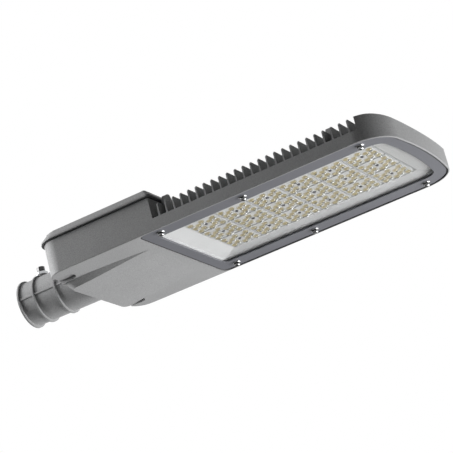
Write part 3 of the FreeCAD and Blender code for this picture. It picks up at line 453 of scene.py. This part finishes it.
# Their washers, a wide flat one and under it a narrower spring washer: radius in millimetres, share of depth
WASHERS = ((2.7, 0.0), (2.7, 1.0), (4.9, 1.0), (5.1, 0.92), (5.1, 0.5), (6.05, 0.5), (6.3, 0.3), (6.3, 0.0),
           (2.7, 0.0))
WASHER_SIDES = 40

# Points of a CAD mesh closer than this are one
SAME_POINT = 1e-6


def solids_of(name):
    """The middle of each solid in a node that holds a group of them, with its lowest and highest level."""
    bm = bmesh.new()
    bm.from_mesh(nodes[name].data)
    bmesh.ops.remove_doubles(bm, verts=bm.verts, dist=SAME_POINT)
    left = set(bm.verts)
    found = []
    while left:
        stack = [left.pop()]
        island = []
        while stack:
            v = stack.pop()
            island.append(v.co.copy())
            for e in v.link_edges:
                w = e.other_vert(v)
                if w in left:
                    left.remove(w)
                    stack.append(w)
        low = Vector(map(min, zip(*island)))
        high = Vector(map(max, zip(*island)))
        found.append(((low.x + high.x) / 2, (low.y + high.y) / 2, low.z, high.z))
    bm.free()
    return sorted(found)


def cross_head(bm, x, y, seat, shank_end):
    """A screw that hangs down from its seat, with its shank up to shank_end."""
    crown = [(HEAD_RADIUS * across, HEAD_HEIGHT * down) for across, down in CROWN]
    shank_depth = seat - shank_end
    side = [(0.0, shank_depth), (SHANK_RADIUS, shank_depth), (SHANK_RADIUS, 0.0), (HEAD_RADIUS, 0.0),
            crown[0]]
    # the shank and the head's side carry the near-black painted shade
    lathe(bm, side, HEAD_SIDES, (x, y, seat), OF_PAINTED_SHADE)
    last = lathe(bm, crown, HEAD_SIDES, (x, y, seat))[-1]
    shape = []
    for quarter in range(4):
        a = CROSS_TURN + quarter * math.pi / 2
        c, s = math.cos(a), math.sin(a)
        for u, v in ((CROSS_ARM, -CROSS_HALF_WIDTH), (CROSS_ARM, CROSS_HALF_WIDTH),
                     (CROSS_HALF_WIDTH, CROSS_HALF_WIDTH)):
            shape.append((c * u - s * v, s * u + c * v))
    rim = [bm.verts.new((x + u, y + v, seat - HEAD_HEIGHT)) for u, v in shape]
    base_level = seat - (HEAD_HEIGHT - CROSS_DEPTH)
    base = [bm.verts.new((x + u * CROSS_FLOOR_SHARE, y + v * CROSS_FLOOR_SHARE, base_level))
            for u, v in shape]
    count = len(rim)
    for i in range(count):
        j = (i + 1) % count
        # the recess's walls and floor carry the near-black painted shade
        bm.faces.new((base[j], base[i], rim[i], rim[j])).material_index = OF_PAINTED_SHADE
    bm.faces.new(list(reversed(base))).material_index = OF_PAINTED_SHADE
    # The flat land round the recess, between its rim and the crown's last ring
    edges = [bm.edges.get((last[i], last[(i + 1) % HEAD_SIDES])) for i in range(HEAD_SIDES)]
    edges += [bm.edges.get((rim[i], rim[(i + 1) % count])) for i in range(count)]
    bmesh.ops.bridge_loops(bm, edges=edges)


def bezel_screws(bm):
    for x, y, low, high in solids_of("bezel_screws"):
        cross_head(bm, x, y, low + SEAT_RISE, high)


def bezel_washers(bm):
    for x, y, low, high in solids_of("bezel_washers"):
        profile = [(radius * MM, share * (high - low)) for radius, share in WASHERS]
        lathe(bm, profile, WASHER_SIDES, (x, y, high))


place("bezel_screw_heads", mesh_of("bezel_screw_heads", bezel_screws, SCREW_MATERIALS),
      "bezel_screws")
place("bezel_screw_washers", mesh_of("bezel_screw_washers", bezel_washers, ("stainless",)),
      "bezel_washers")


def camera():
    data = bpy.data.cameras.new("camera")
    data.lens = CAMERA_LENS
    data.sensor_width = SENSOR_WIDTH
    data.clip_start, data.clip_end = CAMERA_CLIP
    o = bpy.data.objects.new("camera", data)
    o.rotation_mode = "QUATERNION"
    o.location = CAMERA_PLACE
    o.rotation_quaternion = Quaternion(CAMERA_TURN)
    scene.collection.objects.link(o)
    scene.camera = o


def world_light():
    world = bpy.data.worlds.new("world")
    scene.world = world
    world.use_nodes = True
    tree = world.node_tree
    back = tree.nodes["Background"]
    light = tree.nodes.new("ShaderNodeLightPath")
    total = light.outputs["Is Camera Ray"]
    for name in ("Is Glossy Ray", "Is Transmission Ray"):
        either = tree.nodes.new("ShaderNodeMath")
        either.operation = "MAXIMUM"
        tree.links.new(total, either.inputs[0])
        tree.links.new(light.outputs[name], either.inputs[1])
        total = either.outputs["Value"]
    strength = tree.nodes.new("ShaderNodeMapRange")
    strength.inputs["To Min"].default_value = WORLD_FILL
    strength.inputs["To Max"].default_value = 1.0
    tree.links.new(total, strength.inputs["Value"])
    tree.links.new(strength.outputs["Result"], back.inputs["Strength"])
    back.inputs["Color"].default_value = (1.0, 1.0, 1.0, 1.0)


def floor():
    mesh = bpy.data.meshes.new("floor")
    bm = bmesh.new()
    bmesh.ops.create_grid(bm, x_segments=FLOOR_CELLS, y_segments=FLOOR_CELLS, size=FLOOR_REACH)
    bm.to_mesh(mesh)
    bm.free()
    m, tree, shader = new_material("floor_pale")
    tone = ramp(tree, noise(tree, FLOOR_PATCHES), list(zip((NOISE_LOW, NOISE_HIGH), FLOOR_TONES)))
    tree.links.new(tone, shader.inputs["Base Color"])
    shader.inputs["Roughness"].default_value = FLOOR_ROUGHNESS
    light = tree.nodes.new("ShaderNodeLightPath")
    glow = tree.nodes.new("ShaderNodeEmission")
    glow.inputs["Strength"].default_value = 1.0
    share = tree.nodes.new("ShaderNodeMath")
    share.operation = "MULTIPLY"
    share.inputs[1].default_value = FLOOR_GLOW
    tree.links.new(light.outputs["Is Camera Ray"], share.inputs[0])
    mix = tree.nodes.new("ShaderNodeMixShader")
    tree.links.new(share.outputs["Value"], mix.inputs["Fac"])
    tree.links.new(shader.outputs["BSDF"], mix.inputs[1])
    tree.links.new(glow.outputs["Emission"], mix.inputs[2])
    tree.links.new(mix.outputs["Shader"], tree.nodes["Material Output"].inputs["Surface"])
    mesh.materials.append(m)
    o = bpy.data.objects.new("floor", mesh)
    o.location = FLOOR_PLACE
    scene.collection.objects.link(o)


def lamp(name, location, target, side, power):
    data = bpy.data.lights.new(name, "AREA")
    data.shape = "SQUARE"
    data.size = side
    data.energy = power
    o = bpy.data.objects.new(name, data)
    o.location = location
    o.rotation_mode = "QUATERNION"
    o.rotation_quaternion = (Vector(target) - Vector(location)).to_track_quat("-Z", "Y")
    scene.collection.objects.link(o)


camera()
world_light()
floor()
for lamp_values in LAMPS:
    lamp(*lamp_values)

scene.view_settings.view_transform = "Standard"
